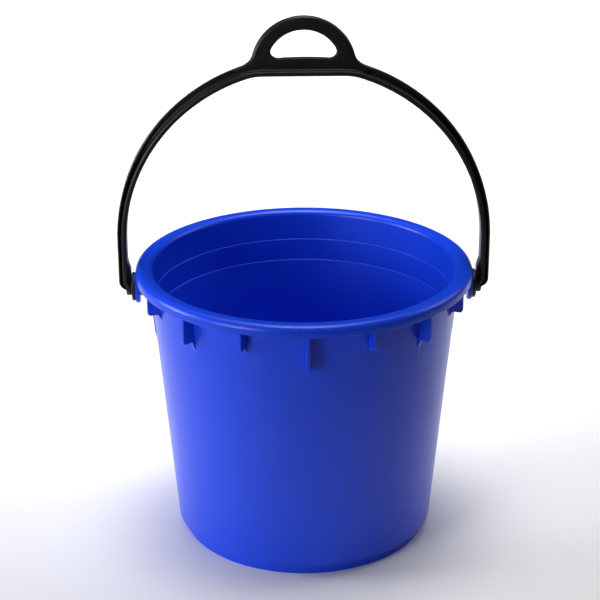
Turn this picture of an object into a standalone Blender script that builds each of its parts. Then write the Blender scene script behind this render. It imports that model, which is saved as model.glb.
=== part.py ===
# Feed bucket: a moulded blue plastic bucket with a black moulded bail handle.
# Metres, +Z up, origin at the centre of the foot, pivot axis along X, front along -Y.

import math

import bmesh
import bpy
from mathutils import Matrix

# ---------------------------------------------------------------- dimensions
RIM_Z = 0.271                 # top of the rim above the floor
RIM_R = 0.160                 # outside radius of the rim
SKIRT_Z = RIM_Z - 0.0107      # lower edge of the rim's skirt
RIM_IN_R = 0.1436             # where the rim's round meets the inner wall
RIM_ROUND_IN = 0.0050
RIM_ROUND_OUT = 0.0060
RIM_T = 0.0028                # thickness of the rim's skirt and top
WALL_TOP_R = 0.1473           # outside of the wall just under the rim
WALL_TOP_Z = RIM_Z - 0.008
WALL_LOW_R = 0.1249           # outside of the wall at its lower edge
WALL_LOW_Z = 0.0115
LEDGES = ((0.1410, RIM_Z - 0.0520), (0.1424, RIM_Z - 0.0300))
LEDGE_STEP = 0.0003           # half width and half height of each ledge inside
FOOT_R = 0.1193               # outside of the foot ring
FOOT_WALL = 0.0032
BASE_TOP_Z = 0.0135           # floor inside the bucket
BASE_UNDER_Z = 0.0100
FLOOR_R = 0.1180              # flat part of the floor
FLOOR_ROUND = 0.0042
LATHE_STEPS = 96

RIB_T = 0.0035                # thickness of the plates under the rim
RIB_OUT_R = 0.1580
RIB_TOP_Z = RIM_Z - 0.0018
RIB_CORNER_R = 0.0030
SINK = 0.0014                 # how far a rib's root sinks into the wall
TIP_STEP = 0.0001             # step that a rib ends in at its tip, so that it crosses the wall cleanly
RIB_STEP = 22.5               # degrees between plates
RIB_LONG = (0.0440, 0.0515)   # depth below the rim top: outer corner, tip at the wall
RIB_MID = (0.0365, 0.0460)
RIB_SHORT = (0.0290, 0.0345)
RIB_DEPTHS = (RIB_LONG, RIB_SHORT, RIB_MID, RIB_SHORT)
LUG_PLACES = (4, 12)          # the two plate positions taken by the lugs
WALL_RIB_T = 0.0032
WALL_RIB_OUT = 0.0018
WALL_RIB_Z = (RIM_Z - 0.0040, RIM_Z - 0.0700, RIM_Z - 0.0830)

PIVOT_Z = RIM_Z - 0.0235      # height of the handle's swing axis
LUG_X = (0.1560, 0.1600)      # inner and outer face of each lug
LUG_R = 0.0157                # half width and lower radius of each lug
LUG_TOP_Z = RIM_Z - 0.0065
PIN_R = 0.0045
BORE_R = 0.0048
PIN_X = (0.1524, 0.1675)
WASHER_X = (0.1603, 0.1638)
WASHER_R = 0.0137
CAP_X = (0.1506, 0.1557)
CAP_R = 0.0088
CAP_BORE_X = 0.1521
OVERCUT = 0.0010              # how far a cutter runs past the face that it opens
SIDES = ((1.0, "right"), (-1.0, "left"))

BOSS_R = 0.0086
BOSS_X = (0.1641, 0.1692)
BOSS_BORE_X = 0.1678
GUSSET_HALF = 0.0065
GUSSET_Z = (RIM_Z - 0.0060, RIM_Z + 0.0050)

ARCH_IN_R = 0.1671            # inner edge of the handle's arch
ARCH_IN_Z = RIM_Z + 0.0219
ARCH_OUT_R = 0.1757           # outer edge of the arch
ARCH_OUT_Z = RIM_Z + 0.0250
ARCH_FLAT_Z = RIM_Z + 0.1830  # underside of the straight middle of the arch
ARCH_STEPS = 60
FLANGE_T = 0.0048
FLANGE_HALF = 0.0100
RIDGE_T = 0.0020
RIDGE_HALF = (0.0020, 0.0090) # half depth of the outer ridge: at the top, at the arms
RIDGE_TAPER_Z = (RIM_Z + 0.066, RIM_Z + 0.175)
WEB_HALF = 0.0016
HEEL_R = 0.0090               # both edges of the arch turn in round one centre under each arm
HEEL_X = ARCH_OUT_R - HEEL_R
HEEL_Z = RIM_Z - 0.0157

GRIP_Z = RIM_Z + 0.1888       # centre of the D-shaped grip's curve
GRIP_BAR_R = 0.0415           # centre line of the grip bar
GRIP_BAR_T = 0.0072           # half height of the bar
GRIP_BAR_Y = 0.0040           # half depth of the bar
GRIP_EDGE_R = 0.0028
GRIP_PLATE_HALF = 0.0034
# flare at each foot of the grip: start on the arch, bend, end on the grip's side
GRIP_FLARE = (0.0640, (0.0505, RIM_Z + 0.1915), (0.0474, RIM_Z + 0.1995))
HOLE_LOW_Z = RIM_Z + 0.1979   # bottom of the finger hole
HOLE_R = 0.0335               # curve of the hole's top, about a centre a little above the grip's
HOLE_Z = RIM_Z + 0.1912
HOLE_CORNER_R = 0.0065

BLUE = (0.012, 0.035, 0.52, 1.0)
BLACK = (0.012, 0.012, 0.012, 1.0)
BLACK_PIN = (0.020, 0.020, 0.021, 1.0)
BLACK_WASHER = (0.016, 0.016, 0.017, 1.0)
BLACK_CAP = (0.018, 0.018, 0.018, 1.0)


# ------------------------------------------------------------------- helpers
def clear_scene():
    for obj in list(bpy.data.objects):
        bpy.data.objects.remove(obj, do_unlink=True)
    for coll in list(bpy.data.collections):
        bpy.data.collections.remove(coll)


def new_collection(name):
    coll = bpy.data.collections.new(name)
    bpy.context.scene.collection.children.link(coll)
    return coll


def make_material(name, color, roughness):
    mat = bpy.data.materials.new(name)
    mat.use_nodes = True
    shader = mat.node_tree.nodes["Principled BSDF"]
    shader.inputs["Base Color"].default_value = color
    shader.inputs["Roughness"].default_value = roughness
    mat.diffuse_color = color
    return mat


def link_mesh(name, mesh, coll):
    obj = bpy.data.objects.new(name, mesh)
    coll.objects.link(obj)
    return obj


def arc(cx, cz, r, a0, a1, steps):
    """Points on an arc in degrees, both ends included."""
    pts = []
    for i in range(steps + 1):
        a = math.radians(a0 + (a1 - a0) * i / steps)
        pts.append((cx + r * math.cos(a), cz + r * math.sin(a)))
    return pts


def lathe(name, profile, steps, coll, closed=False):
    """Turn a profile of (radius, height), run down its outer side, about Z."""
    mesh = bpy.data.meshes.new(name)
    count = len(profile)
    edges = [(i, (i + 1) % count) for i in range(count if closed else count - 1)]
    mesh.from_pydata([(r, 0.0, z) for r, z in profile], edges, [])
    obj = link_mesh(name, mesh, coll)
    screw = obj.modifiers.new("turn", "SCREW")
    screw.steps = steps
    screw.render_steps = steps
    screw.use_merge_vertices = True
    screw.merge_threshold = 0.00001
    return obj


def flat_piece(name, outline, half, coll):
    """Flat (x, z) outline standing in the XZ plane, half thick each way along Y."""
    curve = bpy.data.curves.new(name, "CURVE")
    curve.dimensions = "2D"
    curve.fill_mode = "BOTH"
    curve.extrude = half
    spline = curve.splines.new("POLY")
    spline.points.add(len(outline) - 1)
    for point, (x, z) in zip(spline.points, outline):
        point.co = (x, z, 0.0, 1.0)
    spline.use_cyclic_u = True
    guide = bpy.data.objects.new(name + "_outline", curve)
    coll.objects.link(guide)
    bpy.context.view_layer.update()
    depsgraph = bpy.context.evaluated_depsgraph_get()
    mesh = bpy.data.meshes.new_from_object(guide.evaluated_get(depsgraph))
    mesh.name = name
    bpy.data.objects.remove(guide, do_unlink=True)
    bm = bmesh.new()
    bm.from_mesh(mesh)
    bmesh.ops.remove_doubles(bm, verts=bm.verts, dist=0.000001)
    stand_up = Matrix.Rotation(math.pi / 2.0, 3, "X")
    bmesh.ops.rotate(bm, verts=bm.verts, cent=(0.0, 0.0, 0.0), matrix=stand_up)
    bmesh.ops.recalc_face_normals(bm, faces=bm.faces)
    bm.to_mesh(mesh)
    bm.free()
    return link_mesh(name, mesh, coll)


def rod(name, side, span, radius, steps, coll, bevel=0.0):
    """Cylinder along X on the pivot axis; its origin is the middle of its span."""
    bm = bmesh.new()
    length = span[1] - span[0]
    turn = Matrix.Rotation(math.pi / 2.0, 4, "Y")
    bmesh.ops.create_cone(bm, cap_ends=True, segments=steps, radius1=radius, radius2=radius,
                          depth=length, matrix=turn)
    mesh = bpy.data.meshes.new(name)
    bm.to_mesh(mesh)
    bm.free()
    obj = link_mesh(name, mesh, coll)
    obj.location = (side * (span[0] + span[1]) / 2.0, 0.0, PIVOT_Z)
    if bevel > 0.0:
        edge = obj.modifiers.new("edge", "BEVEL")
        edge.width = bevel
        edge.segments = 1
        edge.limit_method = "ANGLE"
        edge.angle_limit = math.radians(60.0)
    return obj


def boolean(target, tool, operation):
    """Join a tool to the target, or cut it away, and hide the tool as a guide."""
    tool.hide_render = True
    tool.display_type = "WIRE"
    mod = target.modifiers.new(operation.lower() + "_" + tool.name, "BOOLEAN")
    mod.operation = operation
    mod.solver = "EXACT"
    mod.object = tool


def finish(obj, mat):
    obj.data.materials.clear()
    obj.data.materials.append(mat)
    obj.data.shade_smooth()


# -------------------------------------------------------------------- bucket
def wall_radius(z):
    slope = (WALL_TOP_R - WALL_LOW_R) / (WALL_TOP_Z - WALL_LOW_Z)
    return WALL_LOW_R + (z - WALL_LOW_Z) * slope


def bucket_profile():
    """Half section of the bucket: floor, inner wall, rolled rim, outer wall, foot."""
    pts = [(0.0, BASE_TOP_Z)]
    pts += arc(FLOOR_R, BASE_TOP_Z + FLOOR_ROUND, FLOOR_ROUND, -90.0, -5.0, 3)
    for radius, height in LEDGES:
        pts.append((radius - LEDGE_STEP, height - LEDGE_STEP))
        pts.append((radius + LEDGE_STEP, height + LEDGE_STEP))
    # rolled rim: inner round, outer round, skirt and the channel under it
    pts += arc(RIM_IN_R + RIM_ROUND_IN, RIM_Z - RIM_ROUND_IN, RIM_ROUND_IN, 180.0, 90.0, 4)
    pts += arc(RIM_R - RIM_ROUND_OUT, RIM_Z - RIM_ROUND_OUT, RIM_ROUND_OUT, 90.0, 0.0, 5)
    pts += [(RIM_R, SKIRT_Z + 0.0004), (RIM_R - 0.0004, SKIRT_Z), (RIM_R - RIM_T, SKIRT_Z)]
    pts += [(RIM_R - RIM_T, RIM_Z - RIM_ROUND_OUT), (RIM_R - 2.0 * RIM_T, RIM_Z - RIM_T)]
    pts += [(WALL_TOP_R + 0.0032, RIM_Z - RIM_T), (WALL_TOP_R + 0.0007, RIM_Z - 1.6 * RIM_T)]
    # outer wall, lower corner, foot ring and underside
    pts += [(WALL_TOP_R, WALL_TOP_Z), (WALL_LOW_R, WALL_LOW_Z)]
    pts += [(WALL_LOW_R - 0.0007, WALL_LOW_Z - 0.0012), (FOOT_R + 0.0006, WALL_LOW_Z - 0.0016)]
    pts += [(FOOT_R, WALL_LOW_Z - 0.0022), (FOOT_R - 0.0004, 0.0008), (FOOT_R - 0.0012, 0.0)]
    pts += [(FOOT_R - FOOT_WALL, 0.0), (FOOT_R - FOOT_WALL, BASE_UNDER_Z), (0.0, BASE_UNDER_Z)]
    return pts


def rib_outline(depth):
    """Plate under the rim: straight outer edge, round corner, hollow sweep to the wall."""
    corner, tip = depth
    low = RIM_Z - corner
    tip_z = RIM_Z - tip
    wall_r = wall_radius(low)
    tip_r = wall_radius(tip_z)
    pts = [(RIM_IN_R + RIM_T, RIB_TOP_Z), (RIB_OUT_R - 0.0018, RIB_TOP_Z)]
    pts.append((RIB_OUT_R, RIB_TOP_Z - 0.0030))
    pts += arc(RIB_OUT_R - RIB_CORNER_R, low + RIB_CORNER_R, RIB_CORNER_R, 0.0, -90.0, 4)
    pts.append((wall_r + 0.0052, low - 2.0 * TIP_STEP))
    pts.append((wall_r + 0.0028, low - 0.35 * (tip - corner)))
    pts += [(tip_r + TIP_STEP, tip_z), (tip_r - SINK, tip_z)]
    return pts


def lug_outline():
    """Tab that hangs from the rim and carries the handle's pin."""
    return [(LUG_R, LUG_TOP_Z)] + arc(0.0, PIVOT_Z, LUG_R, 0.0, -180.0, 20) + [(-LUG_R, LUG_TOP_Z)]


def wall_rib_outline():
    """Low upright rib on the wall behind and below each lug, fading out at its foot."""
    top, full, end = WALL_RIB_Z
    pts = [(wall_radius(top) - SINK, top), (wall_radius(top) + WALL_RIB_OUT, top)]
    pts += [(wall_radius(full) + WALL_RIB_OUT, full), (wall_radius(end) - 2.0 * TIP_STEP, end)]
    return pts + [(wall_radius(end) - SINK, end)]


def build_bucket(coll, tools, mat):
    body = lathe("bucket_body", bucket_profile(), LATHE_STEPS, coll)
    finish(body, mat)
    for i in range(16):
        if i in LUG_PLACES:
            continue
        rib = flat_piece("rib_%02d" % i, rib_outline(RIB_DEPTHS[i % 4]), RIB_T / 2.0, tools)
        rib.rotation_euler.z = math.radians(RIB_STEP * i - 90.0)
        boolean(body, rib, "UNION")
    for side, label in SIDES:
        lug = flat_piece("lug_" + label, lug_outline(), (LUG_X[1] - LUG_X[0]) / 2.0, tools)
        lug.rotation_euler.z = math.pi / 2.0
        lug.location.x = side * (LUG_X[0] + LUG_X[1]) / 2.0
        boolean(body, lug, "UNION")
        rib = flat_piece("wall_rib_" + label, wall_rib_outline(), WALL_RIB_T / 2.0, tools)
        rib.rotation_euler.z = 0.0 if side > 0 else math.pi
        boolean(body, rib, "UNION")
        span = (LUG_X[0] - OVERCUT, LUG_X[1] + OVERCUT)
        boolean(body, rod("lug_hole_" + label, side, span, BORE_R, 32, tools), "DIFFERENCE")


# -------------------------------------------------------------------- handle
def arch_side(radius, centre_z, limit_z):
    """One edge of the arch from the right arm's heel over to the left arm's heel."""
    pts = [(radius, HEEL_Z)]
    for x, z in arc(0.0, centre_z, radius, 0.0, 180.0, ARCH_STEPS):
        pts.append((x, min(z, limit_z)))
    pts.append((-radius, HEEL_Z))
    return pts


def with_heels(radius, centre_z, limit_z):
    """The same edge, with a quarter turn inwards under each arm."""
    turn = arc(HEEL_X, HEEL_Z, radius - HEEL_X, -90.0, 0.0, 6)[:-1]
    return turn + arch_side(radius, centre_z, limit_z) + [(-x, z) for x, z in turn[::-1]]


def inner_flange(coll):
    inside = arch_side(ARCH_IN_R, ARCH_IN_Z, ARCH_FLAT_Z)
    outside = with_heels(ARCH_IN_R + FLANGE_T, ARCH_IN_Z, ARCH_FLAT_Z + FLANGE_T)
    return flat_piece("bail_handle", inside + outside[::-1], FLANGE_HALF, coll)


def ridge_side_view():
    """Seen along X, the ridge is deep beside the arms and slims down over the top."""
    low, high = RIDGE_TAPER_Z
    deep, slim = RIDGE_HALF[1], RIDGE_HALF[0]
    right = [(deep + OVERCUT, HEEL_Z - HEEL_R - OVERCUT)]
    for i in range(13):
        t = i / 12.0
        ease = t * t * (3.0 - 2.0 * t)
        right.append((deep + (slim - deep) * ease, low + (high - low) * t))
    right.append((slim, ARCH_OUT_Z + ARCH_OUT_R + OVERCUT))
    return right + [(-y, z) for y, z in right[::-1]]


def outer_ridge(tools):
    limit = HOLE_LOW_Z - 0.0012
    outside = with_heels(ARCH_OUT_R, ARCH_OUT_Z, limit)
    inside = with_heels(ARCH_OUT_R - RIDGE_T, ARCH_OUT_Z, limit - RIDGE_T)
    ridge = flat_piece("outer_ridge", outside + inside[::-1], RIDGE_HALF[1], tools)
    taper = flat_piece("ridge_taper", ridge_side_view(), ARCH_OUT_R + 0.01, tools)
    taper.rotation_euler.z = math.pi / 2.0
    boolean(ridge, taper, "INTERSECT")
    return ridge


def web(tools):
    outside = with_heels(ARCH_OUT_R - RIDGE_T / 2.0, ARCH_OUT_Z, HOLE_LOW_Z - 0.0020)
    inset = FLANGE_T / 2.0
    inside = arch_side(ARCH_IN_R + inset, ARCH_IN_Z, ARCH_FLAT_Z + inset)
    return flat_piece("web", outside + inside[::-1], WEB_HALF, tools)


def grip_plate_outline():
    """D-shaped plate with hollow corners where it flows into the arch."""
    foot_x, (bend_x, bend_z), (side_x, side_z) = GRIP_FLARE
    foot_z = ARCH_OUT_Z + math.sqrt(ARCH_OUT_R ** 2 - foot_x ** 2) - 0.0004
    flare = []
    for i in range(9):
        t = i / 8.0
        a, b, c = (1.0 - t) ** 2, 2.0 * t * (1.0 - t), t * t
        flare.append((a * foot_x + b * bend_x + c * side_x, a * foot_z + b * bend_z + c * side_z))
    start = [(foot_x - 0.0040, ARCH_FLAT_Z + FLANGE_T / 2.0)] + flare
    rise = math.degrees(math.atan2(side_z - GRIP_Z, side_x)) + 3.0
    over = arc(0.0, GRIP_Z, GRIP_BAR_R + 0.85 * GRIP_BAR_T, rise, 180.0 - rise, 30)
    return start + over + [(-x, z) for x, z in start[::-1]]


def hole_outline():
    """Finger hole: curved top, slightly crowned bottom, rounded lower corners."""
    corner = HOLE_CORNER_R
    corner_z = HOLE_LOW_Z + corner
    corner_x = math.sqrt((HOLE_R - corner) ** 2 - (corner_z - HOLE_Z) ** 2)
    rise = math.degrees(math.atan2(corner_z - HOLE_Z, corner_x))
    right = arc(corner_x, corner_z, corner, -90.0, rise, 8)
    over = arc(0.0, HOLE_Z, HOLE_R, rise, 180.0 - rise, 32)[1:-1]
    outline = right + over + [(-x, z) for x, z in right[::-1]]
    half = corner_x / 2.0
    crown = [(-half, HOLE_LOW_Z + 0.0007), (0.0, HOLE_LOW_Z + 0.0009), (half, HOLE_LOW_Z + 0.0007)]
    return outline + crown


def grip_bar(tools):
    """Curved band with rounded edges: the upper half of a ring that stands in the XZ plane."""
    section = []
    for i, (across, deep) in enumerate(((1.0, -1.0), (-1.0, -1.0), (-1.0, 1.0), (1.0, 1.0))):
        radius = GRIP_BAR_R + across * (GRIP_BAR_T - GRIP_EDGE_R)
        depth = deep * (GRIP_BAR_Y - GRIP_EDGE_R)
        section += arc(radius, depth, GRIP_EDGE_R, -90.0 * i, -90.0 * (i + 1), 4)
    ring = lathe("grip_bar", section, 80, tools, closed=True)
    ring.rotation_euler.x = math.pi / 2.0
    ring.location.z = GRIP_Z
    reach = GRIP_BAR_R + 2.0 * GRIP_BAR_T
    low = GRIP_Z - 0.0030
    block = [(-reach, low), (reach, low), (reach, low + reach + 0.01), (-reach, low + reach + 0.01)]
    boolean(ring, flat_piece("bar_half", block, 2.0 * GRIP_BAR_Y, tools), "INTERSECT")
    return ring


def gusset_outline():
    """Sloping corner between the arm and the boss."""
    x_in = BOSS_X[0] + 0.0001
    x_out = ARCH_IN_R + 0.0014
    low = PIVOT_Z - 0.0010
    return [(x_in, low), (x_in, GUSSET_Z[0]), (x_out - 0.0010, GUSSET_Z[1]), (x_out, low)]


def build_handle(coll, tools, mat):
    handle = inner_flange(coll)
    finish(handle, mat)
    adds = [outer_ridge(tools), web(tools), grip_bar(tools)]
    adds.append(flat_piece("grip_plate", grip_plate_outline(), GRIP_PLATE_HALF, tools))
    for side, label in SIDES:
        adds.append(rod("boss_" + label, side, BOSS_X, BOSS_R, 40, tools))
        outline = [(side * x, z) for x, z in gusset_outline()]
        adds.append(flat_piece("gusset_" + label, outline, GUSSET_HALF, tools))
    for tool in adds:
        boolean(handle, tool, "UNION")
    boolean(handle, flat_piece("finger_hole", hole_outline(), 0.0200, tools), "DIFFERENCE")
    for side, label in SIDES:
        span = (BOSS_X[0] - OVERCUT, BOSS_BORE_X)
        boolean(handle, rod("boss_bore_" + label, side, span, BORE_R, 32, tools), "DIFFERENCE")
    for v in handle.data.vertices:
        v.co.z -= PIVOT_Z
    handle.location.z = PIVOT_Z


# ------------------------------------------------------------ pivot hardware
def build_pivot(side, label, coll, tools):
    """Pin, washer and retaining cap of one side, all turned on the pivot axis."""
    pin = rod(label + "_pivot_pin", side, PIN_X, PIN_R, 32, coll, 0.0005)
    washer = rod(label + "_pivot_washer", side, WASHER_X, WASHER_R, 48, coll, 0.0005)
    cap = rod(label + "_retaining_cap", side, CAP_X, CAP_R, 40, coll, 0.0007)
    through = (WASHER_X[0] - OVERCUT, WASHER_X[1] + OVERCUT)
    blind = (CAP_BORE_X, CAP_X[1] + OVERCUT)
    boolean(washer, rod("washer_bore_" + label, side, through, BORE_R, 32, tools), "DIFFERENCE")
    boolean(cap, rod("cap_bore_" + label, side, blind, BORE_R, 32, tools), "DIFFERENCE")
    finish(pin, make_material(label + "_pin_plastic", BLACK_PIN, 0.38))
    finish(washer, make_material(label + "_washer_plastic", BLACK_WASHER, 0.45))
    finish(cap, make_material(label + "_cap_plastic", BLACK_CAP, 0.42))


def main():
    clear_scene()
    coll = new_collection("feed_bucket")
    tools = new_collection("feed_bucket_cutters")
    build_bucket(coll, tools, make_material("blue_polypropylene", BLUE, 0.28))
    build_handle(coll, tools, make_material("black_handle_plastic", BLACK, 0.42))
    for side, label in SIDES:
        build_pivot(side, label, coll, tools)


main()
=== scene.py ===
# Looks of the feed bucket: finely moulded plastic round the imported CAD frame. Metres, +Z up.

import math

import bmesh
import bpy
from mathutils import Matrix, Vector


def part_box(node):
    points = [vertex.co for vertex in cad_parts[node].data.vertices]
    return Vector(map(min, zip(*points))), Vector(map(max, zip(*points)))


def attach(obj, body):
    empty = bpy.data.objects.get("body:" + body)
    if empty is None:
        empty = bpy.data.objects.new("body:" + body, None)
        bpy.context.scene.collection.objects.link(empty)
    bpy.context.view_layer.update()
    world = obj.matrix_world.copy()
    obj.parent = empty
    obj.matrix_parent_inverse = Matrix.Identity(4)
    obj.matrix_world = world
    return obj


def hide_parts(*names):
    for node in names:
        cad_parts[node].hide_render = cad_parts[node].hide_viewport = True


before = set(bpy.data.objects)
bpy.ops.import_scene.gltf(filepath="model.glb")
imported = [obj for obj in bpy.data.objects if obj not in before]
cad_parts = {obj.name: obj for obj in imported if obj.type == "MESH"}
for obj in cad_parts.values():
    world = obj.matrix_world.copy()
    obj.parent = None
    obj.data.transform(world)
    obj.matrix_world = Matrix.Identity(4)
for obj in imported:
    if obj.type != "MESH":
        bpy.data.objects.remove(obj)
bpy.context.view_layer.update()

# ------------------------------------------------------- places taken from the CAD
BODY_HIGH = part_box("bucket_body")[1]
RIM_R = BODY_HIGH.x
RIM_Z = BODY_HIGH.z
WASHER_LOW, WASHER_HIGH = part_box("right_pivot_washer")
PIN_LOW, PIN_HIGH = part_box("right_pivot_pin")
CAP_LOW, CAP_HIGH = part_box("right_retaining_cap")
HANDLE_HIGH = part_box("bail_handle")[1]
PIVOT_Z = (WASHER_LOW.z + WASHER_HIGH.z) / 2.0
ARM_R = HANDLE_HIGH.x

# ------------------------------------------------------------- bucket dimensions
SKIRT_Z = RIM_Z - 0.0107      # lower edge of the rim's skirt
RIM_T = 0.0028
RIM_IN_R = 0.1436             # inner wall just below the rim's round
RIM_IN_ROUND = 0.0052
RIM_OUT_ROUND = 0.0062
RIM_UNDER_Z = RIM_Z - 0.0030  # roof of the groove between the wall and the skirt
WALL_TOP_R, WALL_TOP_Z = 0.1473, RIM_Z - 0.0080
WALL_LOW_R, WALL_LOW_Z = 0.1249, 0.0115
LEDGES = ((0.1410, RIM_Z - 0.0520), (0.1424, RIM_Z - 0.0300))
LEDGE_W = 0.0006              # half width of each ledge inside
LEDGE_DROP = 0.0002
LEDGE_ROUND = 0.00025
FOOT_R = 0.1193
FOOT_WALL = 0.0032
FLOOR_Z = 0.0135
FLOOR_R = 0.1222              # inner wall where the floor's round ends
FLOOR_ROUND = 0.0042
BASE_UNDER_Z = 0.0100
TURN_STEPS = 288

RIB_T = 0.0035
RIB_OUT_R = 0.1580
RIB_COUNT = 16                # places round the rim, two of them taken by the lugs
RIB_LONG = (0.0440, 0.0515)   # depth below the rim top: outer corner, tip at the wall
RIB_MID = (0.0365, 0.0460)
RIB_SHORT = (0.0290, 0.0345)
RIB_DEPTHS = (RIB_LONG, RIB_SHORT, RIB_MID, RIB_SHORT)
LUG_PLACES = (4, 12)
EDGE_R = 0.0005               # rounding of the moulded plates' edges
SINK = 0.0014                 # how far a plate's root sinks into the wall
LUG_X = (0.1560, 0.1600)
LUG_R = 0.0157
BORE_R = 0.0048
BORE_OVER = 0.0050            # how far the boring tool reaches each side of a lug
WALL_RIB_T = 0.0032
WALL_RIB_OUT = 0.0018

# ------------------------------------------------------------- handle dimensions
ARCH_IN_R, ARCH_IN_Z = 0.1671, RIM_Z + 0.0219
ARCH_OUT_Z = RIM_Z + 0.0250
FLAT_Z = RIM_Z + 0.1830       # underside of the straight middle of the arch
FLANGE_T = 0.0048
FLANGE_HALF = 0.0099
RIDGE_T = 0.0020
RIDGE_DEEP, RIDGE_SLIM = 0.0089, 0.0020
RIDGE_TAPER = (RIM_Z + 0.066, RIM_Z + 0.175)
RIDGE_R = ARM_R - RIDGE_T / 2.0
RIDGE_INSET = 0.0001          # keeps the ridge's skin inside the CAD's box
WEB_HALF = 0.0016
HEEL_R = 0.0090               # both edges of the arch turn in round one centre under each arm
HEEL_X, HEEL_Z = ARM_R - HEEL_R, RIM_Z - 0.0157
BOSS_R = 0.0085
BOSS_X = (WASHER_HIGH.x + 0.0003, 0.1692)
BOSS_BORE_X = 0.1678
GUSSET_HALF = 0.0065
GRIP_Z = RIM_Z + 0.1888
GRIP_BAR_R = 0.0415
GRIP_BAR_T = 0.0071
GRIP_BAR_Y = 0.0039
GRIP_EDGE_R = 0.0030
GRIP_PLATE_HALF = 0.0034
GRIP_FLARE = (0.0640, (0.0505, RIM_Z + 0.1915), (0.0474, RIM_Z + 0.1995))
HOLE_LOW_Z = RIM_Z + 0.1979
HOLE_R = 0.0335
HOLE_Z = RIM_Z + 0.1912
HOLE_CORNER_R = 0.0065
HOLE_CROWN = 0.0009           # rise of the finger hole's lower edge in its middle
RIDGE_TOP_Z = HOLE_LOW_Z - 0.0030
VOXEL = 0.0006                # grid that the handle's joined shapes are fused on
CAP_MOUTH_R = 0.0048
CAP_END_T = 0.0015


# ----------------------------------------------------------------- mesh helpers
def arc(cx, cz, r, a0, a1, steps):
    """Points on an arc in degrees, both ends included."""
    pts = []
    for i in range(steps + 1):
        a = math.radians(a0 + (a1 - a0) * i / steps)
        pts.append((cx + r * math.cos(a), cz + r * math.sin(a)))
    return pts


def rounded(corners, steps=6):
    """Turn corners (x, z, radius) into a line with each corner rounded; radius 0 keeps it sharp."""
    pts = []
    for i, (x, z, radius) in enumerate(corners):
        if radius <= 0.0 or i in (0, len(corners) - 1):
            pts.append((x, z))
            continue
        here = Vector((x, z))
        back = (Vector(corners[i - 1][:2]) - here).normalized()
        ahead = (Vector(corners[i + 1][:2]) - here).normalized()
        half = back.angle(ahead) / 2.0
        reach = radius / math.tan(half)
        centre = here + (back + ahead).normalized() * radius / math.sin(half)
        first = here + back * reach - centre
        turn = first.angle_signed(here + ahead * reach - centre)
        for k in range(steps + 1):
            a = -turn * k / steps
            c, s = math.cos(a), math.sin(a)
            pts.append((centre.x + first.x * c - first.y * s, centre.y + first.x * s + first.y * c))
    return pts


def new_object(name, verts, faces):
    mesh = bpy.data.meshes.new(name)
    mesh.from_pydata(verts, [], faces)
    mesh.update()
    obj = bpy.data.objects.new(name, mesh)
    bpy.context.scene.collection.objects.link(obj)
    bm = bmesh.new()
    bm.from_mesh(mesh)
    bmesh.ops.remove_doubles(bm, verts=bm.verts, dist=0.0000005)
    bmesh.ops.recalc_face_normals(bm, faces=bm.faces)
    bm.to_mesh(mesh)
    bm.free()
    return obj


def turned(name, profile, steps, closed=False):
    """A line of (radius, height) turned about Z; an open line starts and ends on the axis."""
    verts, faces = [], []
    count = len(profile)
    for i in range(steps):
        a = 2.0 * math.pi * i / steps
        verts += [(r * math.cos(a), r * math.sin(a), z) for r, z in profile]
    for i in range(steps):
        j = (i + 1) % steps
        for k in range(count if closed else count - 1):
            m = (k + 1) % count
            faces.append((i * count + k, j * count + k, j * count + m, i * count + m))
    obj = new_object(name, verts, faces)
    bm = bmesh.new()
    bm.from_mesh(obj.data)
    bmesh.ops.dissolve_degenerate(bm, dist=0.0000002, edges=bm.edges)
    bm.to_mesh(obj.data)
    bm.free()
    return obj


def plate(name, outline, half, bevel=0.0):
    """Flat (x, z) outline standing in the XZ plane, half thick each way along Y."""
    count = len(outline)
    verts = [(x, y, z) for y in (-half, half) for x, z in outline]
    faces = [tuple(range(count)), tuple(range(2 * count - 1, count - 1, -1))]
    faces += [(k, (k + 1) % count, count + (k + 1) % count, count + k) for k in range(count)]
    obj = new_object(name, verts, faces)
    if bevel > 0.0:
        edge = obj.modifiers.new("edge", "BEVEL")
        edge.width = bevel
        edge.segments = 3
        edge.limit_method = "ANGLE"
        edge.angle_limit = math.radians(50.0)
        apply_modifiers(obj)
    return obj


def swept(name, path, section):
    """Closed (across, depth) sections carried along an (x, z) path in the XZ plane."""
    verts, faces = [], []
    last = len(path) - 1
    count = len(section(0))
    for i, (x, z) in enumerate(path):
        ahead = Vector(path[min(i + 1, last)]) - Vector(path[max(i - 1, 0)])
        ahead.normalize()
        for across, depth in section(i):
            verts.append((x + ahead.y * across, depth, z - ahead.x * across))
    for i in range(last):
        for k in range(count):
            m = (k + 1) % count
            faces.append((i * count + k, i * count + m, (i + 1) * count + m, (i + 1) * count + k))
    faces += [tuple(range(count)), tuple(range(last * count + count - 1, last * count - 1, -1))]
    return new_object(name, verts, faces)


def round_box(half_a, half_b, radius, steps=4):
    """Outline of a rectangle with rounded corners."""
    pts = []
    for sa, sb, start in ((1, 1, 0.0), (-1, 1, 90.0), (-1, -1, 180.0), (1, -1, 270.0)):
        pts += arc(sa * (half_a - radius), sb * (half_b - radius), radius, start, start + 90.0, steps)
    return pts


def apply_modifiers(obj):
    depsgraph = bpy.context.evaluated_depsgraph_get()
    mesh = bpy.data.meshes.new_from_object(obj.evaluated_get(depsgraph))
    obj.modifiers.clear()
    obj.data = mesh
    return obj


def move(obj, matrix):
    obj.data.transform(matrix)
    return obj


def joined(name, parts):
    """One object from several, each keeping its own shells."""
    bm = bmesh.new()
    for part in parts:
        bm.from_mesh(part.data)
        bpy.data.objects.remove(part, do_unlink=True)
    mesh = bpy.data.meshes.new(name)
    bm.to_mesh(mesh)
    bm.free()
    obj = bpy.data.objects.new(name, mesh)
    bpy.context.scene.collection.objects.link(obj)
    return obj


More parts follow.
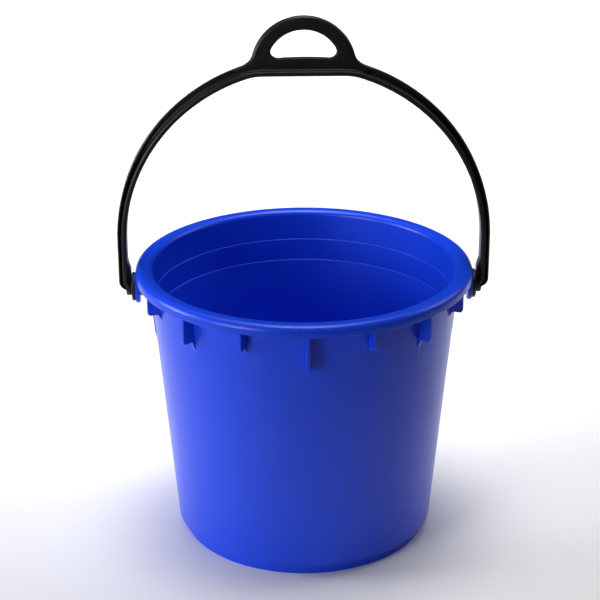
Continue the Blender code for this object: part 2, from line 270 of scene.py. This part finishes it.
def combine(target, tool, operation):
    mod = target.modifiers.new("boolean", "BOOLEAN")
    mod.operation = operation
    mod.solver = "EXACT"
    mod.object = tool
    apply_modifiers(target)
    bpy.data.objects.remove(tool, do_unlink=True)
    return target


def smooth_by_angle(obj, degrees):
    obj.data.shade_smooth()
    obj.data.set_sharp_from_angle(angle=math.radians(degrees))


# ------------------------------------------------------------------------ bucket
def wall_radius(z):
    slope = (WALL_TOP_R - WALL_LOW_R) / (WALL_TOP_Z - WALL_LOW_Z)
    return WALL_LOW_R + (z - WALL_LOW_Z) * slope


def body_profile():
    """Half section of the moulding, from the middle of the floor up, over and back under."""
    corners = [(0.0, FLOOR_Z, 0.0), (0.1150, FLOOR_Z, 0.0), (FLOOR_R - 0.0004, FLOOR_Z, FLOOR_ROUND)]
    for radius, height in LEDGES:
        corners.append((radius - LEDGE_W, height - LEDGE_DROP, LEDGE_ROUND))
        corners.append((radius + LEDGE_W, height + LEDGE_DROP, LEDGE_ROUND))
    corners += [(RIM_IN_R, RIM_Z - 0.0060, 0.0)]
    inner_wall = rounded(corners)[:-1]
    rim = arc(RIM_IN_R + RIM_IN_ROUND, RIM_Z - 0.0053, RIM_IN_ROUND, 180.0, 95.0, 14)
    rim += arc(RIM_R - RIM_OUT_ROUND, RIM_Z - RIM_OUT_ROUND, RIM_OUT_ROUND, 88.0, 0.0, 18)
    under = [(RIM_R, RIM_Z - 0.0064, 0.0), (RIM_R, SKIRT_Z, 0.0009), (RIM_R - RIM_T, SKIRT_Z, 0.0008)]
    under += [(RIM_R - RIM_T, RIM_UNDER_Z, 0.0024), (WALL_TOP_R + 0.0004, RIM_UNDER_Z, 0.0022)]
    under += [(WALL_TOP_R, WALL_TOP_Z, 0.0), (WALL_LOW_R, WALL_LOW_Z, 0.0010)]
    under += [(FOOT_R + 0.0002, WALL_LOW_Z - 0.0024, 0.0007), (FOOT_R - 0.0004, 0.0, 0.0010)]
    under += [(FOOT_R - FOOT_WALL, 0.0, 0.0007), (FOOT_R - FOOT_WALL - 0.0003, BASE_UNDER_Z, 0.0016)]
    under += [(0.1000, BASE_UNDER_Z, 0.0), (0.0, BASE_UNDER_Z, 0.0)]
    return inner_wall + rim + rounded(under)


def rib_outline(depth):
    """Plate under the rim: upright outer edge, round corner, hollow sweep to the wall."""
    corner, tip = depth
    low, tip_z = RIM_Z - corner, RIM_Z - tip
    foot_r, tip_r = wall_radius(low), wall_radius(tip_z)
    corners = [(RIM_IN_R + 0.0030, RIM_Z - 0.0018, 0.0), (RIB_OUT_R - 0.0018, RIM_Z - 0.0018, 0.0)]
    corners += [(RIB_OUT_R, RIM_Z - 0.0048, 0.0), (RIB_OUT_R, low, 0.0030)]
    corners += [(foot_r + 0.0030, low, 0.0022), (tip_r, tip_z, 0.0), (tip_r - SINK, tip_z, 0.0)]
    return rounded(corners)


def lug_outline():
    top = RIM_Z - 0.0065
    return [(LUG_R, top)] + arc(0.0, PIVOT_Z, LUG_R, 0.0, -180.0, 48) + [(-LUG_R, top)]


def wall_rib_outline():
    top, full, end = RIM_Z - 0.0040, RIM_Z - 0.0700, RIM_Z - 0.0830
    pts = [(wall_radius(top) - SINK, top), (wall_radius(top) + WALL_RIB_OUT, top)]
    pts += [(wall_radius(full) + WALL_RIB_OUT, full), (wall_radius(end) - 0.0002, end)]
    return pts + [(wall_radius(end) - SINK, end)]


def about_z(degrees):
    return Matrix.Rotation(math.radians(degrees), 4, "Z")


def round_tool(low, high, steps):
    """Cylinder about Z that cuts one pivot bore."""
    return turned("bore", [(0.0, low), (BORE_R, low), (BORE_R, high), (0.0, high)], steps)


def build_body():
    body = turned("bucket_moulding", body_profile(), TURN_STEPS)
    lug_mid = (LUG_X[0] + LUG_X[1]) / 2.0
    lug_half = (LUG_X[1] - LUG_X[0]) / 2.0 - 0.00002
    plates, bores = [], []
    for i in range(RIB_COUNT):
        if i in LUG_PLACES:
            continue
        rib = plate("rib", rib_outline(RIB_DEPTHS[i % 4]), RIB_T / 2.0, EDGE_R)
        plates.append(move(rib, about_z(360.0 / RIB_COUNT * i - 90.0)))
    for side in (1.0, -1.0):
        lug = plate("lug", lug_outline(), lug_half, EDGE_R)
        out = Matrix.Translation((side * lug_mid, 0.0, 0.0))
        plates.append(move(lug, out @ about_z(90.0)))
        rib = plate("wall_rib", wall_rib_outline(), WALL_RIB_T / 2.0, EDGE_R)
        plates.append(move(rib, about_z(0.0 if side > 0 else 180.0)))
        bores.append(move(round_tool(-BORE_OVER, BORE_OVER, 64), on_pivot(side, lug_mid)))
    combine(body, joined("plates", plates), "UNION")
    combine(body, joined("bores", bores), "DIFFERENCE")
    smooth_by_angle(body, 32.0)
    return body


# ------------------------------------------------------------------------ handle
def soft_min(a, b, softness):
    low = min(a, b)
    total = math.exp((low - a) / softness) + math.exp((low - b) / softness)
    return low - softness * math.log(total)


def arch_path(radius, centre_z, limit_z):
    """Line of one edge of the arch, up from the right heel, over and down to the left heel."""
    half = [(radius, HEEL_Z + (centre_z - HEEL_Z) * i / 12.0) for i in range(12)]
    for x, z in arc(0.0, centre_z, radius, 0.0, 90.0, 110):
        half.append((x, soft_min(z, limit_z, 0.0008)))
    return half + [(-x, z) for x, z in half[-2::-1]]


def with_heels(radius, centre_z, limit_z):
    """The same line, with a quarter turn inwards under each arm."""
    turn = arc(HEEL_X, HEEL_Z, radius - HEEL_X, -90.0, 0.0, 12)[:-1]
    return turn + arch_path(radius, centre_z, limit_z) + [(-x, z) for x, z in turn[::-1]]


def build_flange():
    """Broad inner strip of the arch; its edges on the hand's side are rounder."""
    middle = FLANGE_T / 2.0
    path = with_heels(ARCH_IN_R + middle, ARCH_IN_Z, FLAT_Z + middle)
    outline = []
    for across, deep, start, radius in ((1, 1, 0, 0.0011), (-1, 1, 90, 0.0019),
                                        (-1, -1, 180, 0.0019), (1, -1, 270, 0.0011)):
        centre = (across * (middle - radius), deep * (FLANGE_HALF - radius))
        outline += arc(centre[0], centre[1], radius, start, start + 90.0, 5)
    return swept("flange", path, lambda i: outline)


def build_ridge():
    """Outer strip of the arch: as broad as the flange on the arms, slim over the top."""
    path = with_heels(RIDGE_R - RIDGE_INSET, ARCH_OUT_Z, RIDGE_TOP_Z)
    low, high = RIDGE_TAPER

    def section(i):
        t = min(1.0, max(0.0, (path[i][1] - low) / (high - low)))
        ease = t * t * (3.0 - 2.0 * t)
        return round_box(RIDGE_T / 2.0, RIDGE_DEEP + (RIDGE_SLIM - RIDGE_DEEP) * ease, 0.0008)

    return swept("ridge", path, section)


def build_web():
    """Thin sheet that joins the two strips of the arch."""
    outside = with_heels(RIDGE_R, ARCH_OUT_Z, RIDGE_TOP_Z)
    inset = FLANGE_T / 2.0
    inside = arch_path(ARCH_IN_R + inset, ARCH_IN_Z, FLAT_Z + inset)
    return plate("web", outside + inside[::-1], WEB_HALF)


def flare_curve():
    """Hollow sweep from the top of the arch up to the side of the grip, on the right."""
    foot_x, (bend_x, bend_z), (side_x, side_z) = GRIP_FLARE
    foot_z = ARCH_OUT_Z + math.sqrt(ARM_R ** 2 - foot_x ** 2) - 0.0004
    pts = []
    for i in range(25):
        t = i / 24.0
        a, b, c = (1.0 - t) ** 2, 2.0 * t * (1.0 - t), t * t
        pts.append((a * foot_x + b * bend_x + c * side_x, a * foot_z + b * bend_z + c * side_z))
    return pts


def build_grip_plate():
    foot_x, _, (side_x, side_z) = GRIP_FLARE
    start = [(foot_x - 0.0040, FLAT_Z + FLANGE_T / 2.0)] + flare_curve()
    rise = math.degrees(math.atan2(side_z - GRIP_Z, side_x)) + 2.0
    over = arc(0.0, GRIP_Z, GRIP_BAR_R + 0.85 * GRIP_BAR_T, rise, 180.0 - rise, 90)
    outline = start + over + [(-x, z) for x, z in start[::-1]]
    return plate("grip_plate", outline, GRIP_PLATE_HALF, 0.0010)


def build_grip_bar():
    """Band with rounded edges that runs over the finger hole and thins down into the plate."""
    path = arc(0.0, GRIP_Z, GRIP_BAR_R, -4.0, 184.0, 140)

    def section(i):
        t = min(1.0, max(0.0, (path[i][1] - GRIP_Z) / GRIP_BAR_R))
        depth = GRIP_PLATE_HALF + (GRIP_BAR_Y - GRIP_PLATE_HALF) * math.sqrt(t)
        return round_box(GRIP_BAR_T, depth, GRIP_EDGE_R)

    return swept("grip_bar", path, section)


def build_finger_hole():
    """Cutter for the D-shaped hole: round top, rounded corners, slightly crowned lower edge."""
    corner_z = HOLE_LOW_Z + HOLE_CORNER_R
    corner_x = math.sqrt((HOLE_R - HOLE_CORNER_R) ** 2 - (corner_z - HOLE_Z) ** 2)
    rise = math.degrees(math.atan2(corner_z - HOLE_Z, corner_x))
    right = arc(corner_x, corner_z, HOLE_CORNER_R, -90.0, rise, 18)
    over = arc(0.0, HOLE_Z, HOLE_R, rise, 180.0 - rise, 80)[1:-1]
    crown = []
    for i in range(1, 24):
        x = corner_x * (i / 12.0 - 1.0)
        crown.append((x, HOLE_LOW_Z + HOLE_CROWN * (1.0 - (x / corner_x) ** 2)))
    outline = right + over + [(-x, z) for x, z in right[::-1]] + crown
    return plate("finger_hole", outline, 0.0200)


def on_pivot(side, x):
    """Carries a shape turned about Z to the pivot axis, its +Z pointing outwards."""
    turn = Matrix.Rotation(side * math.pi / 2.0, 4, "Y")
    return Matrix.Translation((side * x, 0.0, PIVOT_Z)) @ turn


def build_boss(side):
    corners = [(0.0, BOSS_X[0], 0.0), (BOSS_R, BOSS_X[0], 0.0006), (BOSS_R, BOSS_X[1], 0.0010)]
    profile = rounded(corners + [(0.0, BOSS_X[1], 0.0)])
    return move(turned("boss", profile, 72), on_pivot(side, 0.0))


def build_gusset(side):
    """Sloping corner between a boss and its arm."""
    x_in, x_out = BOSS_X[0] + 0.0002, ARCH_IN_R + 0.0014
    low = PIVOT_Z - 0.0010
    outline = [(x_in, low), (x_in, RIM_Z - 0.0060), (x_out - 0.0010, RIM_Z + 0.0050), (x_out, low)]
    return plate("gusset", [(side * x, z) for x, z in outline], GUSSET_HALF, 0.0006)


def build_handle():
    parts = [build_flange(), build_ridge(), build_web(), build_grip_plate(), build_grip_bar()]
    for side in (1.0, -1.0):
        parts += [build_boss(side), build_gusset(side)]
    handle = joined("bail_moulding", parts)
    fuse(handle, VOXEL, 0)
    combine(handle, build_finger_hole(), "DIFFERENCE")
    fuse(handle, VOXEL, 7)
    bores = []
    for side in (1.0, -1.0):
        bores.append(move(round_tool(BOSS_X[0] - 0.0010, BOSS_BORE_X, 48), on_pivot(side, 0.0)))
    combine(handle, joined("bores", bores), "DIFFERENCE")
    smooth_by_angle(handle, 50.0)
    return handle


def fuse(obj, size, rounds):
    """Melt overlapping shells into one skin, then relax it so that corners get moulded fillets."""
    grid = obj.modifiers.new("grid", "REMESH")
    grid.mode = "VOXEL"
    grid.voxel_size = size
    if rounds:
        relax = obj.modifiers.new("relax", "SMOOTH")
        relax.factor = 0.5
        relax.iterations = rounds
    apply_modifiers(obj)


# ---------------------------------------------------------------- pivot hardware
def build_washer(side):
    """Collar between a lug and the handle."""
    low, high = WASHER_LOW.x, WASHER_HIGH.x
    middle = (low + high) / 2.0
    rim = (WASHER_HIGH.z - WASHER_LOW.z) / 2.0
    corners = [(BORE_R, middle, 0.0), (BORE_R, low, 0.0004), (rim - 0.0022, low, 0.0)]
    corners += [(rim, low + 0.0002, 0.0007), (rim, high - 0.0002, 0.0008), (rim - 0.0022, high, 0.0)]
    corners += [(BORE_R + 0.0016, high, 0.0), (BORE_R, high, 0.0004), (BORE_R, middle, 0.0)]
    obj = turned("washer", rounded(corners)[:-1], 128, closed=True)
    return move(obj, on_pivot(side, 0.0))


def build_pin(side):
    low, high = PIN_LOW.x, PIN_HIGH.x
    radius = (PIN_HIGH.z - PIN_LOW.z) / 2.0
    corners = [(0.0, low, 0.0), (radius, low, 0.0008), (radius, low + 0.0060, 0.0)]
    corners += [(radius, high, 0.0008), (0.0, high, 0.0)]
    return move(turned("pin", rounded(corners), 96), on_pivot(side, 0.0))


def build_cap(side):
    """Cup pushed over the inner end of a pin."""
    low, high = CAP_LOW.x, CAP_HIGH.x
    radius = (CAP_HIGH.z - CAP_LOW.z) / 2.0
    corners = [(0.0, low, 0.0), (radius - 0.0015, low, 0.0012), (radius, low + 0.0026, 0.0008)]
    corners += [(radius, high, 0.0005), (CAP_MOUTH_R, high, 0.0004)]
    corners += [(CAP_MOUTH_R, low + CAP_END_T, 0.0), (0.0, low + CAP_END_T, 0.0)]
    return move(turned("cap", rounded(corners), 96), on_pivot(side, 0.0))


# --------------------------------------------------------------------- materials
class Nodes:
    """Short way to add and join the nodes of one material."""

    def __init__(self, name):
        self.mat = bpy.data.materials.new(name)
        self.mat.use_nodes = True
        self.tree = self.mat.node_tree
        self.shader = self.tree.nodes["Principled BSDF"]
        self.place = self.tree.nodes.new("ShaderNodeTexCoord").outputs["Object"]

    def add(self, kind):
        return self.tree.nodes.new("ShaderNode" + kind)

    def link(self, source, target):
        self.tree.links.new(source, target)

    def noise(self, scale, detail=3.0, roughness=0.5, stretch=(1.0, 1.0, 1.0)):
        spread = self.add("Mapping")
        spread.inputs["Scale"].default_value = stretch
        self.link(self.place, spread.inputs["Vector"])
        node = self.add("TexNoise")
        node.inputs["Scale"].default_value = scale
        node.inputs["Detail"].default_value = detail
        node.inputs["Roughness"].default_value = roughness
        self.link(spread.outputs["Vector"], node.inputs["Vector"])
        return node.outputs["Fac"]

    def ramp(self, source, low, high, first, second):
        """Remap source from low..high to first..second, held at the ends."""
        node = self.add("MapRange")
        for key, value in (("From Min", low), ("From Max", high), ("To Min", first), ("To Max", second)):
            node.inputs[key].default_value = value
        self.link(source, node.inputs["Value"])
        return node.outputs["Result"]

    def math(self, operation, a, b):
        node = self.add("Math")
        node.operation = operation
        for socket, value in zip(node.inputs, (a, b)):
            if isinstance(value, float):
                socket.default_value = value
            else:
                self.link(value, socket)
        return node.outputs["Value"]

    def blend(self, share, first, second):
        node = self.add("Mix")
        node.data_type = "RGBA"
        self.link(share, node.inputs["Factor"])
        for socket, value in zip((node.inputs[6], node.inputs[7]), (first, second)):
            if isinstance(value, tuple):
                socket.default_value = value
            else:
                self.link(value, socket)
        return node.outputs[2]

    def bump(self, height, distance, strength=1.0, under=None):
        node = self.add("Bump")
        node.inputs["Strength"].default_value = strength
        node.inputs["Distance"].default_value = distance
        self.link(height, node.inputs["Height"])
        if under is not None:
            self.link(under, node.inputs["Normal"])
        return node.outputs["Normal"]


def blue_plastic():
    """Glossy polypropylene: faint flow marks from moulding, fine rub marks, soft orange peel."""
    n = Nodes("blue_polypropylene")
    flow = n.noise(7.0, 4.0, 0.55, (1.0, 1.0, 0.35))
    deep = (0.006, 0.051, 0.66, 1.0)
    clear = (0.007, 0.058, 0.74, 1.0)
    scuffs = n.noise(60.0, 6.0, 0.7, (1.0, 1.0, 9.0))
    worn = n.ramp(scuffs, 0.66, 0.78, 0.0, 0.25)
    tone = n.blend(n.ramp(flow, 0.3, 0.7, 0.0, 1.0), deep, clear)
    rubbed = (0.04, 0.09, 0.78, 1.0)
    tone = n.blend(worn, tone, rubbed)
    n.link(tone, n.shader.inputs["Base Color"])
    rough = n.ramp(flow, 0.3, 0.7, 0.285, 0.325)
    n.link(n.math("ADD", rough, n.math("MULTIPLY", worn, 0.6)), n.shader.inputs["Roughness"])
    peel = n.bump(n.noise(420.0, 2.0), 0.00003, 0.15)
    wave = n.bump(n.noise(28.0, 2.0), 0.0004, 0.06, peel)
    n.link(wave, n.shader.inputs["Normal"])
    n.shader.inputs["Specular IOR Level"].default_value = 0.34
    return n.mat


def black_plastic(name, tone, smooth, rough):
    """Satin black moulding: spark-eroded grain, greyer where hands and hooks rub it."""
    n = Nodes(name)
    grain = n.noise(900.0, 3.0, 0.6)
    patch = n.noise(22.0, 4.0, 0.6)
    rubbed = n.noise(130.0, 6.0, 0.72, (1.0, 4.0, 1.0))
    worn = n.ramp(rubbed, 0.64, 0.80, 0.0, 0.5)
    grey = tuple(min(1.0, c * 2.6 + 0.012) for c in tone[:3]) + (1.0,)
    n.link(n.blend(worn, tone, grey), n.shader.inputs["Base Color"])
    n.link(n.ramp(patch, 0.3, 0.7, smooth, rough), n.shader.inputs["Roughness"])
    n.link(n.bump(grain, 0.00005, 0.25), n.shader.inputs["Normal"])
    n.shader.inputs["Specular IOR Level"].default_value = 0.35
    return n.mat


def paper_white():
    """Matt studio paper, a very little uneven."""
    n = Nodes("backdrop")
    shade = n.noise(1.5, 3.0)
    tone = n.blend(shade, (0.91, 0.91, 0.91, 1.0), (0.93, 0.93, 0.93, 1.0))
    n.link(tone, n.shader.inputs["Base Color"])
    n.shader.inputs["Roughness"].default_value = 0.7
    return n.mat


# ---------------------------------------------------------------- studio, camera
LAMP_REACH = 1.6              # from each lamp to the point that it is aimed at
LAMP_AIM_Z = 0.20
FLOOR_REACH = 6.0


def softbox(name, place, aim, width, height, power, spread):
    """Area light with a grid over it: spread is the full angle, in degrees, that it shines into."""
    light = bpy.data.lights.new(name, "AREA")
    light.shape = "RECTANGLE"
    light.size, light.size_y = width, height
    light.energy = power
    light.spread = math.radians(spread)
    obj = bpy.data.objects.new(name, light)
    obj.location = place
    obj.rotation_euler = (Vector(aim) - Vector(place)).to_track_quat("-Z", "Y").to_euler()
    bpy.context.scene.collection.objects.link(obj)


def lamp(name, azimuth, height, size, power, spread):
    """Square softbox aimed at the bucket: azimuth from the front towards +X, height, in degrees."""
    a, e = math.radians(azimuth), math.radians(height)
    aim = Vector((0.0, 0.0, LAMP_AIM_Z))
    out = Vector((math.sin(a) * math.cos(e), -math.cos(a) * math.cos(e), math.sin(e)))
    softbox(name, aim + out * LAMP_REACH, aim, size, size, power, spread)


def build_studio():
    signs = ((-1, -1), (1, -1), (1, 1), (-1, 1))
    corners = [(x * FLOOR_REACH, y * FLOOR_REACH, 0.0) for x, y in signs]
    floor = new_object("floor", corners, [(0, 1, 2, 3)])
    floor.data.materials.append(paper_white())
    world = bpy.data.worlds.new("studio")
    world.use_nodes = True
    background = world.node_tree.nodes["Background"]
    background.inputs["Color"].default_value = (1.0, 1.0, 1.0, 1.0)
    background.inputs["Strength"].default_value = 0.01
    bpy.context.scene.world = world
    lamp("left_key", 270.0, 12.0, 0.7, 2.0, 60.0)
    lamp("left_front_key", 315.0, 12.0, 0.7, 1.5, 60.0)
    lamp("right_back_fill", 110.0, 35.0, 0.8, 0.8, 70.0)
    softbox("top_light", (0.0, 0.10, 1.8), (0.0, 0.20, 0.0), 0.9, 0.9, 1.7, 45.0)
    softbox("backdrop_light", (0.0, 2.3, 2.4), (0.0, 2.3, 0.0), 5.0, 3.6, 90.0, 70.0)
    bpy.context.scene.view_settings.view_transform = "Standard"


def build_camera():
    data = bpy.data.cameras.new("camera")
    data.sensor_width = 36.0
    data.lens = 106.22
    camera = bpy.data.objects.new("camera", data)
    camera.location = (-0.0376, -1.5706, 0.8777)
    camera.rotation_euler = [math.radians(a) for a in (67.638, 0.141, -1.29)]
    bpy.context.scene.collection.objects.link(camera)
    bpy.context.scene.camera = camera


# -------------------------------------------------------------------------- build
def dress(obj, name, node, body, mat):
    obj.name = name
    obj.data.name = name
    obj.data.materials.clear()
    obj.data.materials.append(mat)
    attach(obj, body)
    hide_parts(node)


def main():
    dress(build_body(), "bucket_moulding", "bucket_body", "bucket", blue_plastic())
    black = black_plastic("black_handle", (0.012, 0.0112, 0.0080, 1.0), 0.34, 0.44)
    dress(build_handle(), "bail_moulding", "bail_handle", "bail", black)
    washer_mat = black_plastic("black_collar", (0.016, 0.016, 0.016, 1.0), 0.40, 0.50)
    pin_mat = black_plastic("black_pin", (0.020, 0.020, 0.021, 1.0), 0.30, 0.42)
    cap_mat = black_plastic("black_cap", (0.018, 0.018, 0.018, 1.0), 0.42, 0.52)
    for side, label in ((1.0, "right"), (-1.0, "left")):
        rows = (("washer", build_washer, "pivot_washer", washer_mat, "washer_plastic"),
                ("pin", build_pin, "pivot_pin", pin_mat, "pin_plastic"),
                ("cap", build_cap, "retaining_cap", cap_mat, "cap_plastic"))
        for kind, build, node, mat, slot in rows:
            piece = build(side)
            smooth_by_angle(piece, 35.0)
            dress(piece, label + "_" + kind, label + "_" + node, "bail", mat)
    build_studio()
    build_camera()


main()
bpy.context.view_layer.update()
